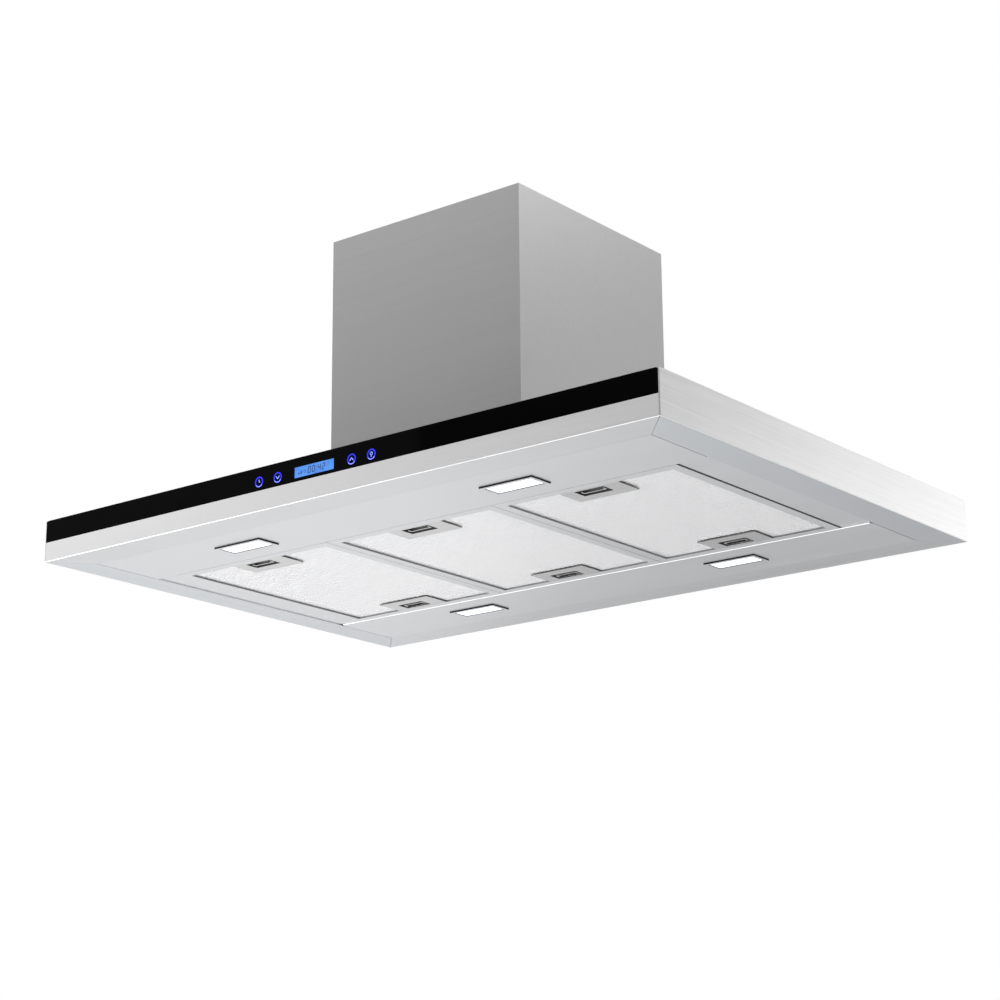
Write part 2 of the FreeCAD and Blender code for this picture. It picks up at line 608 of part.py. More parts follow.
def scroll_face(clearance):
    """The casing's section in YZ: two quarter arcs under the drum, the second wider, and straight
    sides up to the outlet."""
    near_radius = dim("scroll_start") + clearance
    far_radius = near_radius + dim("scroll_step")
    slant = math.sqrt(0.5)
    low = Vector(0, FAN_Y, FAN_Z - near_radius)
    right = Vector(0, FAN_Y + near_radius, FAN_Z)
    right_mid = Vector(0, FAN_Y + near_radius * slant, FAN_Z - near_radius * slant)
    wide_centre = FAN_Z - near_radius + far_radius
    left = Vector(0, FAN_Y - far_radius, wide_centre)
    left_mid = Vector(0, FAN_Y - far_radius * slant, wide_centre - far_radius * slant)
    roof_right = Vector(0, right.y, COLLAR_Z + clearance)
    roof_left = Vector(0, left.y, COLLAR_Z + clearance)
    edges = [Part.Arc(right, right_mid, low).toShape(), Part.Arc(low, left_mid, left).toShape(),
             Part.makeLine(left, roof_left), Part.makeLine(roof_left, roof_right),
             Part.makeLine(roof_right, right)]
    return Part.Face(Part.Wire(edges))


def blower_housing():
    wide = dim("fan_width")
    wall = dim("casing_gauge")
    face = scroll_face(0)
    face.translate(Vector(-wide / 2, 0, 0))
    outer = face.extrude(Vector(wide, 0, 0))
    hollow_face = scroll_face(-wall)
    hollow_face.translate(Vector(-wide / 2 + wall, 0, 0))
    hollow = hollow_face.extrude(Vector(wide - 2 * wall, 0, 0))
    inlet = Part.makeCylinder(dim("inlet_radius"), wide + 10,
                              Vector(-wide / 2 - 5, FAN_Y, FAN_Z), Vector(1, 0, 0))
    return outer.cut(hollow).cut(inlet)


casing = blower_housing()
outlet = Part.makeCylinder(dim("collar_radius") - dim("collar_wall"), 20,
                           Vector(0, 0, COLLAR_Z - 10))
node("blower_housing", made("blower_casing", casing.cut(outlet)))


def impeller():
    """A double-inlet drum: a hub disc in the middle, rings at both ends and curved blades between."""
    radius = dim("impeller_radius")
    wide = dim("impeller_width")
    depth = dim("blade_depth")
    thick = dim("blade_gauge")
    axis = Vector(1, 0, 0)

    def ring(x, length, outer, inner):
        base = Vector(x, FAN_Y, FAN_Z)
        solid = Part.makeCylinder(outer, length, base, axis)
        return solid.cut(Part.makeCylinder(inner, length, base, axis))

    bore = dim("shaft_radius") + dim("shaft_play")
    disc = ring(-1, 2, radius, bore)
    hub = ring(-10, 20, dim("hub_radius"), bore)
    rings = [ring(x, 3, radius, radius - depth) for x in (-wide / 2, wide / 2 - 3)]
    count = int(dim("blade_count"))
    inner_edge = Vector(-wide / 2 + 1, FAN_Y + radius - depth + 1, FAN_Z)
    outer_edge = Vector(-wide / 2 + 1, FAN_Y + radius - 1, FAN_Z)
    bow = Vector(-wide / 2 + 1, FAN_Y + radius - depth / 2, FAN_Z + depth / 4)
    arc = Part.Arc(inner_edge, bow, outer_edge).toShape()
    back = arc.copy()
    back.translate(Vector(0, 0, thick))
    ends = [Part.makeLine(arc.Vertexes[k].Point, back.Vertexes[k].Point) for k in (0, 1)]
    edges = Part.__sortEdges__([arc, back, *ends])
    blade = Part.Face(Part.Wire(edges)).extrude(Vector(wide - 2, 0, 0))
    whole = disc.fuse([hub, *rings])
    blades = []
    for k in range(count):
        copy = blade.copy()
        copy.rotate(Vector(0, FAN_Y, FAN_Z), axis, 360 * k / count)
        blades.append(copy)
    return whole.fuse(blades).removeSplitter()


node("impeller", made("impeller_drum", impeller()))


def motor():
    """The motor in the left half of the drum, with its shaft through the hub and its feet outside."""
    axis = Vector(1, 0, 0)
    can_start = -dim("motor_length") - 12
    can = Part.makeCylinder(dim("motor_radius"), dim("motor_length"),
                            Vector(can_start, FAN_Y, FAN_Z), axis)
    shaft = Part.makeCylinder(dim("shaft_radius"), 26, Vector(-14, FAN_Y, FAN_Z), axis)
    return can.fuse(shaft).removeSplitter()


node("motor", made("fan_motor", motor()))


def spider(side):
    """A ring with three arms on one cheek of the casing; the left one holds the motor."""
    axis = Vector(side, 0, 0)
    wide = dim("fan_width") / 2
    start = Vector(side * wide, FAN_Y, FAN_Z)
    outer = dim("inlet_radius") + 10
    reach = dim("guard_ring")
    hold = dim("motor_radius") if side < 0 else 22
    band = Part.makeCylinder(outer, 2, start, axis).cut(
        Part.makeCylinder(dim("inlet_radius"), 2, start, axis))
    cup = Part.makeCylinder(hold + 3, 2, start, axis)
    arms = []
    for k in range(6):
        corner = Vector(wide if side > 0 else -wide - 2, FAN_Y - 2.5, FAN_Z + hold)
        arm = Part.makeBox(2, 5, outer - 2 - hold, corner)
        arm.rotate(Vector(0, FAN_Y, FAN_Z), Vector(1, 0, 0), 60 * k)
        arms.append(arm)
    whole = band.fuse([cup, *arms])
    if side < 0:
        sleeve = Part.makeCylinder(hold + 3, 18, start, Vector(1, 0, 0))
        bore = Part.makeCylinder(hold + dim("fit_gap"), 40, start - Vector(20, 0, 0), Vector(1, 0, 0))
        whole = whole.fuse(sleeve).cut(bore)
    else:
        for radius in (34, 46, 57):
            loop = Part.makeCylinder(radius + reach / 2, 2, start, axis).cut(
                Part.makeCylinder(radius - reach / 2, 2, start, axis))
            whole = whole.fuse(loop)
    return whole.removeSplitter()


node("motor_mount", made("motor_spider", spider(-1)))
node("inlet_guard", made("inlet_guard_ring", spider(1)))


def outlet_collar():
    """The round duct collar on the casing's roof, with pin ears for the two flaps inside."""
    radius = dim("collar_radius")
    wall = dim("collar_wall")
    base = Vector(0, 0, COLLAR_Z)
    up = Vector(0, 0, 1)
    tube = Part.makeCylinder(radius, dim("collar_height") + 3, base, up)
    flange = Part.makeCylinder(dim("collar_base") / 2, 3, base, up)
    sides = Part.makeBox(dim("collar_base"), 2 * radius + 12, 3,
                         Vector(-dim("collar_base") / 2, -radius - 6, COLLAR_Z))
    whole = tube.fuse(flange.common(sides))
    bore = Part.makeCylinder(radius - wall, dim("collar_height") + 13, base - up * 5, up)
    whole = whole.cut(bore)
    pin_z = COLLAR_Z + 14
    for x in (-hinge_offset, hinge_offset):
        whole = whole.fuse(Part.makeCylinder(dim("pin_radius"), 2 * radius - 1,
                                             Vector(x, -radius + 0.5, pin_z), Vector(0, 1, 0)))
    return whole.removeSplitter()


hinge_offset = dim("barrel_radius") + dim("flap_gap") / 2
node("outlet_collar", made("duct_collar", outlet_collar()))


def flap(side):
    """A half-round flap with a barrel on its pin; it lies closed and lifts in the air stream."""
    radius = dim("collar_radius") - dim("collar_wall") - 1.5
    pin_z = COLLAR_Z + 14
    thick = dim("flap_gauge")
    low = pin_z - thick / 2
    disc = Part.makeCylinder(radius, thick, Vector(0, 0, low), Vector(0, 0, 1))
    half = Part.makeBox(radius, 2 * radius, thick,
                        Vector(hinge_offset if side > 0 else -hinge_offset - radius, -radius, low))
    short = radius - 8
    barrel = Part.makeCylinder(dim("barrel_radius"), 2 * short,
                               Vector(side * hinge_offset, -short, pin_z), Vector(0, 1, 0))
    bore = Part.makeCylinder(dim("pin_radius") + dim("pin_play"), 2 * radius,
                             Vector(side * hinge_offset, -radius, pin_z), Vector(0, 1, 0))
    return disc.common(half).fuse(barrel).cut(bore).removeSplitter()


node("flap_left", made("left_flap", flap(-1)))
node("flap_right", made("right_flap", flap(1)))

CASING_FRONT = "(-scroll_start - scroll_step / 2 - fit_gap)"
CASING_SIDE = "(fan_width / 2)"
capacitor = cylinder("17", "52", ("-45", CASING_FRONT + " - 17", "canopy_height + 120"))
node("motor_capacitor", capacitor)
terminal = cut(box(("20", "80"), (CASING_FRONT + " - 24", CASING_FRONT),
                   ("canopy_height + 110", "canopy_height + 180")),
               cylinder("gland_radius", "20", ("gland_x", "gland_y", "canopy_height + 170")))
node("terminal_box", terminal)
bracket_y = span_at("(scroll_step / 2)", "26")
bracket = fuse(box((CASING_SIDE, CASING_SIDE + " + 2"), bracket_y, (TOP, TOP + " + 44")),
               box((CASING_SIDE, CASING_SIDE + " + 18"), bracket_y, (TOP, TOP + " + 2")))
node("blower_brackets", group(bracket, mirrored(bracket, Vector(1, 0, 0))))

# ---------------------------------------------------------------- check and write
doc.recompute()
for item in doc.Objects:
    if "Invalid" in item.State or "Error" in item.State:
        raise RuntimeError("%s (%s) failed: %s" % (item.Label, item.Name, item.State))
labels = [item.Label for item in nodes]
if len(set(labels)) != len(labels):
    raise RuntimeError("two sub-parts share a name")
for item in nodes:
    if item.Shape.isNull() or not item.Shape.isValid() or not item.Shape.Solids:
        raise RuntimeError(item.Label + " has no valid solid")
for item in nodes:
    item.Shape.exportStep("parts/%s.step" % item.Label)
print(len(nodes), "sub-parts written")
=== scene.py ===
import json
import math

import bpy
from mathutils import Matrix, Vector


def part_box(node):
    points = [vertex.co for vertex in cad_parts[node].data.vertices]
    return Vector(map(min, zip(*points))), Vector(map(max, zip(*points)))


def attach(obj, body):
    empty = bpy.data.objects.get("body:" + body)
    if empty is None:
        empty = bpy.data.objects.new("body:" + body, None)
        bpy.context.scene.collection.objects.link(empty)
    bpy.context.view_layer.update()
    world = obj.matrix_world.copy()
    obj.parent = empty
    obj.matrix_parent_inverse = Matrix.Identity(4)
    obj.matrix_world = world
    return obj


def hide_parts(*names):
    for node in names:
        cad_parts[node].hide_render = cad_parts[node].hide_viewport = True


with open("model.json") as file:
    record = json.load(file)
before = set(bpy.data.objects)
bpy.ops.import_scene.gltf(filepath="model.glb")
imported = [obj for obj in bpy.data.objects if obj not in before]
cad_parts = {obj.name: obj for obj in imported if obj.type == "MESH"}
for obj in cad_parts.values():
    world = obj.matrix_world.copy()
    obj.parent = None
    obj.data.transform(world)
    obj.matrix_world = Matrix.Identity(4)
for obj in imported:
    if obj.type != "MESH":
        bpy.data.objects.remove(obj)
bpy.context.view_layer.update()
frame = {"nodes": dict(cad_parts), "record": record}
scene = bpy.context.scene
nodes = frame["nodes"]

# Island range hood, in metres. The origin is the centre of the canopy's underside, +Z is up,
# and the controls face -Y.

# ------------------------------------------------------------------ camera
AZIMUTH, ELEVATION, ROLL = math.radians(38.31), math.radians(-15.80), math.radians(-0.47)
DISTANCE = 2.857
SENSOR_MM, LENS_MM = 36.0, 85.8
AIM = Vector((-0.001, 0.0, 0.065))
back = Vector((math.sin(AZIMUTH) * math.cos(ELEVATION),
               -math.cos(AZIMUTH) * math.cos(ELEVATION),
               math.sin(ELEVATION)))
right = Vector((math.cos(AZIMUTH), math.sin(AZIMUTH), 0.0))
up = back.cross(right)
tilted_right = math.cos(ROLL) * right + math.sin(ROLL) * up
tilted_up = math.cos(ROLL) * up - math.sin(ROLL) * right
camera = bpy.data.objects.new("camera", bpy.data.cameras.new("camera"))
camera.data.sensor_width = SENSOR_MM
camera.data.lens = LENS_MM
camera.matrix_world = Matrix.Translation(AIM + back * DISTANCE) @ Matrix(
    (tilted_right, tilted_up, back)).transposed().to_4x4()
scene.collection.objects.link(camera)
scene.camera = camera
scene.view_settings.view_transform = "Standard"


# ------------------------------------------------------------------ node helpers
COLOUR_A, COLOUR_B, COLOUR_RESULT = 6, 7, 2     # the colour sockets of a Mix node


class Shader:
    """A material's node tree, with short calls for the nodes used below."""

    def __init__(self, name):
        self.material = bpy.data.materials.new(name)
        self.material.use_nodes = True
        self.tree = self.material.node_tree
        self.surface = self.tree.nodes["Principled BSDF"]

    def add(self, kind, **settings):
        made = self.tree.nodes.new(kind)
        for key, value in settings.items():
            setattr(made, key, value)
        return made

    def link(self, source, target):
        self.tree.links.new(source, target)

    def set(self, **values):
        for key, value in values.items():
            self.surface.inputs[key.replace("_", " ")].default_value = value
        return self

    def place(self, scale=(1, 1, 1), turn=(0, 0, 0)):
        where = self.add("ShaderNodeTexCoord")
        mapping = self.add("ShaderNodeMapping")
        mapping.inputs["Scale"].default_value = scale
        mapping.inputs["Rotation"].default_value = turn
        self.link(where.outputs["Object"], mapping.inputs["Vector"])
        return mapping.outputs["Vector"]

    def noise(self, vector, scale, detail=6.0, rough=0.6):
        made = self.add("ShaderNodeTexNoise")
        made.inputs["Scale"].default_value = scale
        made.inputs["Detail"].default_value = detail
        made.inputs["Roughness"].default_value = rough
        self.link(vector, made.inputs["Vector"])
        return made.outputs["Fac"]

    def remap(self, value, low_in, high_in, low_out, high_out):
        made = self.add("ShaderNodeMapRange")
        for key, number in zip(("From Min", "From Max", "To Min", "To Max"),
                               (low_in, high_in, low_out, high_out)):
            made.inputs[key].default_value = number
        self.link(value, made.inputs["Value"])
        return made.outputs["Result"]

    def math(self, operation, first, second):
        made = self.add("ShaderNodeMath", operation=operation)
        for socket, value in zip(made.inputs, (first, second)):
            if isinstance(value, (int, float)):
                socket.default_value = value
            else:
                self.link(value, socket)
        return made.outputs[0]

    def ramp(self, value, *stops):
        """Two stops, each a position and a colour."""
        made = self.add("ShaderNodeValToRGB")
        for element, (position, colour) in zip(made.color_ramp.elements, stops):
            element.position = position
            element.color = (*colour, 1)
        self.link(value, made.inputs["Fac"])
        return made.outputs["Color"]

    def flat(self, colour):
        made = self.add("ShaderNodeRGB")
        made.outputs[0].default_value = (*colour, 1)
        return made.outputs[0]

    def blend(self, factor, first, second):
        made = self.add("ShaderNodeMix", data_type="RGBA")
        self.link(factor, made.inputs["Factor"])
        self.link(first, made.inputs[COLOUR_A])
        self.link(second, made.inputs[COLOUR_B])
        return made.outputs[COLOUR_RESULT]

    def colour(self, socket):
        self.link(socket, self.surface.inputs["Base Color"])

    def rough(self, socket):
        self.link(socket, self.surface.inputs["Roughness"])

    def bump(self, height, distance, strength=1.0):
        made = self.add("ShaderNodeBump")
        made.inputs["Strength"].default_value = strength
        made.inputs["Distance"].default_value = distance
        self.link(height, made.inputs["Height"])
        self.link(made.outputs["Normal"], self.surface.inputs["Normal"])


def shade(colour, factor):
    return tuple(min(1.0, part * factor) for part in colour)


SCRATCH_STRETCH = 0.012
GRAIN = {"x": (SCRATCH_STRETCH, 1.0, 1.0), "y": (1.0, SCRATCH_STRETCH, 1.0)}


def brushed(name, colour, along, roughness=0.38, contrast=0.05, depth=0.00002,
            underside=None, bend_painted_light=None, wall_painted_shade=None, painted_shade_ramp=None):
    """Brushed steel: fine scratches stretched along one axis, with broad soft patches. Faces that
    look down can take a rougher, less brushed satin whose darker colour is painted shade, bends a
    flat colour that is a painted highlight where lighter than the finish and painted shade where
    darker, and walls a dark colour that is painted shade. A painted shade ramp, as (low z, high z,
    level at low z), darkens the finish towards its lower end."""
    made = Shader(name)
    made.set(Metallic=1.0)
    stretched = made.place(GRAIN[along])
    fine = made.noise(stretched, 900, 4, 0.7)
    streaks = made.noise(stretched, 170, 5, 0.65)
    patches = made.noise(made.place(), 5, 3, 0.5)
    both = made.math("ADD", made.math("MULTIPLY", fine, 0.45), made.math("MULTIPLY", streaks, 0.55))
    level = made.math("ADD", made.math("MULTIPLY", both, 0.85),
                      made.math("MULTIPLY", patches, 0.15))
    tint = made.ramp(level, (0.30, shade(colour, 1 - contrast)),
                     (0.70, shade(colour, 1 + contrast)))
    rough = made.remap(both, 0.3, 0.7, roughness - 0.05, roughness + 0.06)
    height = both
    # Painted shade: the colour is blended towards black at the lower end of z.
    if painted_shade_ramp:
        where = made.add("ShaderNodeSeparateXYZ")
        made.link(made.add("ShaderNodeTexCoord").outputs["Object"], where.inputs["Vector"])
        low_z, high_z, level_low = painted_shade_ramp
        painted_darkening = made.remap(where.outputs["Z"], low_z, high_z, 1.0 - level_low, 0.0)
        tint = made.blend(painted_darkening, tint, made.flat((0, 0, 0)))
    if underside or bend_painted_light or wall_painted_shade:
        split = made.add("ShaderNodeSeparateXYZ")
        made.link(made.add("ShaderNodeTexCoord").outputs["Normal"], split.inputs["Vector"])
        tilt = split.outputs["Z"]
    # Faces that look down: a rougher, less brushed satin, and a darker colour that is painted
    # shade.
    if underside:
        down = made.remap(tilt, -0.75, -0.95, 0.0, 1.0)
        shaded_satin_tint = made.ramp(patches, (0.3, shade(underside, 0.98)), (0.7, shade(underside, 1.02)))
        tint = made.blend(down, tint, shaded_satin_tint)
        rough = made.math("ADD", rough, made.math("MULTIPLY", down, 0.08))
        height = made.math("MULTIPLY", both, made.remap(down, 0, 1, 1.0, 0.4))
    # Painted highlight and shade: bends get a flat colour of their own, lighter or darker than the
    # finish.
    if bend_painted_light:
        painted_bend_mask = made.math("MULTIPLY", made.remap(tilt, -0.08, -0.25, 0.0, 1.0),
                         made.remap(tilt, -0.97, -0.85, 0.0, 1.0))
        tint = made.blend(painted_bend_mask, tint, made.flat(bend_painted_light))
    # Painted shade: upright walls get a dark flat colour.
    if wall_painted_shade:
        painted_wall_mask = made.remap(made.math("ABSOLUTE", tilt, 0), 0.5, 0.2, 0.0, 1.0)
        tint = made.blend(painted_wall_mask, tint, made.flat(wall_painted_shade))
    made.colour(tint)
    made.rough(rough)
    made.bump(height, depth)
    return made.material


def sheet_metal(name, colour, roughness=0.45, spangle=0.08):
    """Galvanised sheet: crystal patches of slightly different grey."""
    made = Shader(name)
    made.set(Metallic=0.9)
    cells = made.add("ShaderNodeTexVoronoi")
    cells.inputs["Scale"].default_value = 120
    made.link(made.place(), cells.inputs["Vector"])
    grain = made.noise(made.place(), 400, 5, 0.6)
    mixed = made.math("ADD", made.math("MULTIPLY", cells.outputs["Distance"], 0.7),
                      made.math("MULTIPLY", grain, 0.5))
    made.colour(made.ramp(mixed, (0.2, shade(colour, 1 - spangle)),
                          (0.8, shade(colour, 1 + spangle))))
    made.rough(made.remap(mixed, 0.2, 0.8, roughness - 0.07, roughness + 0.1))
    made.bump(grain, 0.00003)
    return made.material


def moulded(name, colour, roughness=0.5, texture=900, depth=0.00003, coat=0.0):
    """Moulded plastic with a fine spark-eroded texture."""
    made = Shader(name)
    made.set(Coat_Weight=coat)
    grain = made.noise(made.place(), texture, 4, 0.6)
    soft = made.noise(made.place(), 30, 3, 0.5)
    made.colour(made.ramp(soft, (0.3, shade(colour, 0.9)), (0.7, shade(colour, 1.12))))
    made.rough(made.remap(grain, 0.3, 0.7, roughness - 0.06, roughness + 0.08))
    made.bump(grain, depth)
    return made.material


def lit(name, colour, strength, dim_colour, texture, low_mix=0.35, high_mix=0.65):
    """A lit surface, a little uneven as a diffuser is."""
    made = Shader(name)
    uneven = made.noise(made.place(), texture, 2.0, 0.5)
    made.link(made.ramp(uneven, (low_mix, dim_colour), (high_mix, colour)),
              made.surface.inputs["Emission Color"])
    made.colour(made.ramp(uneven, (low_mix, shade(dim_colour, 0.5)),
                          (high_mix, shade(colour, 0.5))))
    made.set(Emission_Strength=strength, Roughness=0.35)
    return made.material


# ------------------------------------------------------------------ materials by slot
# The underside colours here are painted shade on the downward faces.
SATIN_PAINTED_SHADE = (0.592, 0.599, 0.609)
finishes = {
    # Bend colours: a painted highlight on the side and panel bends, painted shade on the fascia's.
    "steel_fascia": brushed("fascia_steel", (0.98, 0.98, 0.98), "x", 0.42, 0.05,
                            underside=SATIN_PAINTED_SHADE, bend_painted_light=(0.80, 0.80, 0.81)),
    "steel_side": brushed("side_steel", (0.79, 0.79, 0.79), "y", 0.42, 0.15,
                          underside=(0.572, 0.592, 0.609), bend_painted_light=(0.90, 0.90, 0.91)),
    "steel_top": brushed("top_steel", (0.66, 0.66, 0.67), "x", 0.40, 0.05),
    "steel_panel": brushed("panel_steel", (0.616, 0.623, 0.633), "x", 0.50, 0.015, 0.00001,
                           bend_painted_light=(0.97, 0.97, 0.98)),
    # Painted shade: the chimney darkens towards the canopy.
    "steel_chimney": brushed("chimney_steel", (0.627, 0.627, 0.627), "x", 0.45, 0.06,
                             painted_shade_ramp=(0.05, 0.40, 0.74)),
    "galvanised": sheet_metal("galvanised_sheet", (0.55, 0.57, 0.59)),
    "black_plastic": moulded("black_moulding", (0.02, 0.02, 0.021), 0.5),
    "circuit_board": moulded("board_green", (0.03, 0.16, 0.07), 0.35, 500, 0.00002, 0.3),
    # Painted shade: the dark wall colours of the bezel, filter frames and latches.
    "lamp_bezel": brushed("bezel_satin", (0.61, 0.616, 0.63), "x", 0.48, 0.015, 0.00001,
                          wall_painted_shade=(0.025, 0.025, 0.026)),
    "filter_frame": brushed("filter_aluminium", (0.62, 0.627, 0.637), "y", 0.50, 0.01, 0.000005,
                            wall_painted_shade=(0.28, 0.28, 0.29)),
    "latch_metal": brushed("latch_satin", (0.58, 0.58, 0.58), "x", 0.45, 0.03, 0.00001,
                           wall_painted_shade=(0.20, 0.20, 0.20)),
    "fan_plastic": moulded("fan_moulding", (0.045, 0.045, 0.05), 0.42),
    "motor_metal": sheet_metal("motor_casting", (0.40, 0.41, 0.43), 0.5, 0.05),
    "zinc_screw": sheet_metal("zinc_plating", (0.70, 0.69, 0.62), 0.28, 0.05),
    "display": lit("display_backlight", (0.08, 0.28, 0.80), 0.80, (0.05, 0.20, 0.66), 60),
    "light_guide": lit("guide_blue", (0.012, 0.016, 0.80), 1.1, (0.008, 0.010, 0.6), 200),
    "lamp_lens": lit("lens_glow", (1.0, 1.0, 1.0), 0.98, (0.74, 0.84, 1.0), 150, 0.30, 0.58),
}


def black_glass():
    made = Shader("black_glass")
    made.set(Metallic=0.0, IOR=1.5, Specular_IOR_Level=0.02)
    haze = made.noise(made.place(), 14, 4, 0.5)
    made.colour(made.ramp(haze, (0.3, (0.0010, 0.0010, 0.0012)), (0.7, (0.0022, 0.0022, 0.0026))))
    made.rough(made.remap(haze, 0.3, 0.7, 0.03, 0.07))
    return made.material


def mesh_metal():
    """Bright rolled aluminium strands."""
    made = Shader("mesh_aluminium")
    made.set(Metallic=0.85)
    grain = made.noise(made.place(), 1500, 3, 0.6)
    made.colour(made.ramp(grain, (0.3, (0.90, 0.90, 0.91)), (0.7, (0.98, 0.98, 0.985))))
    made.rough(made.remap(grain, 0.3, 0.7, 0.38, 0.5))
    made.bump(grain, 0.00002)
    return made.material


finishes["black_glass"] = black_glass()
finishes["filter_mesh"] = mesh_metal()

slot_of = {part["node"]: part["material_slot"] for part in frame["record"]["subparts"]}
for name, item in nodes.items():
    item.data.materials.clear()
    item.data.materials.append(finishes[slot_of[name]])


# ------------------------------------------------------------------ mesh helpers
def piece(name, body, slot, material=None, mesh=None):
    """A new object that rides on a body, in its slot's finish unless it is given another."""
    item = bpy.data.objects.new(name, mesh or bpy.data.meshes.new(name))
    scene.collection.objects.link(item)
    if material is None:
        material = finishes[slot]
    item.data.materials.append(material)
    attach(item, body)
    return item


def fill(item, verts, faces):
    item.data.from_pydata(verts, [], faces)
    item.data.update()
    return item


def rounded_outline(half_x, half_y, radius, steps=5):
    """The points of a rounded rectangle centred on zero."""
    points = []
    for sign_x, sign_y, start in ((1, 1, 0), (-1, 1, 90), (-1, -1, 180), (1, -1, 270)):
        for k in range(steps + 1):
            turn = math.radians(start + 90 * k / steps)
            points.append((sign_x * (half_x - radius) + radius * math.cos(turn),
                           sign_y * (half_y - radius) + radius * math.sin(turn)))
    return points


# ------------------------------------------------------------------ lamp lenses
# The rounded lower edge, as heights above the lens's face with the inset at each.
LENS_EDGE = ((0.0006, 0.0), (0.0002, 0.0004), (0.0, 0.0012))
LENS_CORNER = 0.0015

for row in ("front", "rear"):
    for side in ("left", "right"):
        node = "lamp_lens_%s_%s" % (row, side)
        lo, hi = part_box(node)
        centre, half = (lo + hi) / 2, (hi - lo) / 2
        verts, faces = [], []
        rings = [(hi.z, 0.0)] + [(lo.z + rise, inset) for rise, inset in LENS_EDGE]
        for z, inset in rings:
            verts += [(centre.x + x, centre.y + y, z)
                      for x, y in rounded_outline(half.x - inset, half.y - inset, LENS_CORNER)]
        count = len(verts) // len(rings)
        for level in range(len(rings) - 1):
            for k in range(count):
                after = (k + 1) % count
                faces.append((level * count + k, (level + 1) * count + k,
                              (level + 1) * count + after, level * count + after))
        faces.append(tuple(range(count)))
        faces.append(tuple(reversed(range((len(rings) - 1) * count, len(rings) * count))))
        lens = fill(piece("lens_diffuser_%s_%s" % (row, side), "hood", "lamp_lens"), verts, faces)
        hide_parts(node)


# ------------------------------------------------------------------ filter mesh
MESH_PLAY = 0.0005
LAYER_INSET = 0.0001
CORE_SHARE = 0.72
CUP_SIDE, CUP_OUTER, CUP_INNER = 0.003, 0.0015, 0.0385
OUTER_LAYER = {"long_way": 0.0070, "short_way": 0.0042, "strand": 0.0010, "thickness": 0.0006}
INNER_LAYER = {"long_way": 0.0100, "short_way": 0.0060, "strand": 0.0012, "thickness": 0.0006}


def expanded_mesh(name, body, x_span, y_span, z, holes, long_way, short_way, strand, thickness):
    """Expanded metal: zigzag strands that overlap a little at their bends, left out inside the
    holes."""
    item = piece(name, body, "filter_mesh")
    verts, faces = [], []
    step = long_way / 2
    rows = int((y_span[1] - y_span[0]) / (short_way / 2))
    columns = int((x_span[1] - x_span[0]) / step)
    overlap = strand * 0.15
    swing = short_way / 4 - overlap
    corner = ((-1, 0), (1, 0), (1, 1), (-1, 1))

    def hidden(x, y):
        return any(a < x < b and c < y < d for a, b, c, d in holes)

    for row in range(rows):
        middle = y_span[0] + (row + 0.5) * short_way / 2
        previous = None
        for column in range(columns + 1):
            x = x_span[0] + column * step
            offset = swing if (column + row) % 2 else -swing
            if hidden(x, middle):
                previous = None
                continue
            first = len(verts)
            for side, top in corner:
                verts.append((x, middle + offset + side * strand / 2, z + top * thickness))
            if previous is None:
                faces.append((first, first + 1, first + 2, first + 3))
            else:
                for k in range(4):
                    after = (k + 1) % 4
                    faces.append((previous + k, previous + after, first + after, first + k))
            previous = first
            following = x_span[0] + (column + 1) * step
            if column == columns or hidden(following, middle):
                faces.append((first + 3, first + 2, first + 1, first))
    return fill(item, verts, faces)


for number in (1, 2, 3):
    body = "filter_%d" % number
    mesh_node = "filter_mesh_%d" % number
    lo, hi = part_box(mesh_node)
    plate_lo, plate_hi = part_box("latch_plates_%d" % number)
    cup_x = (plate_lo.x + CUP_SIDE, plate_hi.x - CUP_SIDE)
    cups = [(*cup_x, plate_lo.y + CUP_OUTER, plate_lo.y + CUP_INNER),
            (*cup_x, plate_hi.y - CUP_INNER, plate_hi.y - CUP_OUTER)]
    spans = ((lo.x + MESH_PLAY, hi.x - MESH_PLAY), (lo.y + MESH_PLAY, hi.y - MESH_PLAY))
    outer = expanded_mesh("mesh_outer_%d" % number, body, *spans, lo.z + LAYER_INSET,
                          cups, **OUTER_LAYER)
    inner_z = hi.z - INNER_LAYER["thickness"] - LAYER_INSET
    inner = expanded_mesh("mesh_inner_%d" % number, body, *spans, inner_z, cups, **INNER_LAYER)
    core = piece("mesh_core_%d" % number, body, "filter_mesh", mesh=nodes[mesh_node].data.copy())
    core.data.materials.clear()
    core.data.materials.append(finishes["filter_mesh"])
    middle_z = (lo.z + hi.z) / 2
    for vertex in core.data.vertices:
        vertex.co.z = middle_z + (vertex.co.z - middle_z) * CORE_SHARE
    for layer in (outer, inner, core):
        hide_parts(mesh_node)

# ------------------------------------------------------------------ lit display and keys
CLEAR = 0.00002
PRINT_THICKNESS = 0.00015
INK_THICKNESS = 0.00008
GLASS_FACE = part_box("glass_panel")[0].y - CLEAR
INK_FACE = GLASS_FACE - PRINT_THICKNESS - CLEAR / 2


def raised(item, shapes, thickness=PRINT_THICKNESS, y=GLASS_FACE):
    """Flat outlines (x, z) given a small thickness in front of the glass."""
    verts, faces = [], []
    for outline in shapes:
        first, count = len(verts), len(outline)
        verts += [(x, y, z) for x, z in outline]
        verts += [(x, y - thickness, z) for x, z in outline]
        faces.append(tuple(first + k for k in reversed(range(count))))
        faces.append(tuple(first + count + k for k in range(count)))
        for k in range(count):
            after = (k + 1) % count
            faces.append((first + k, first + after, first + count + after, first + count + k))
    return fill(item, verts, faces)


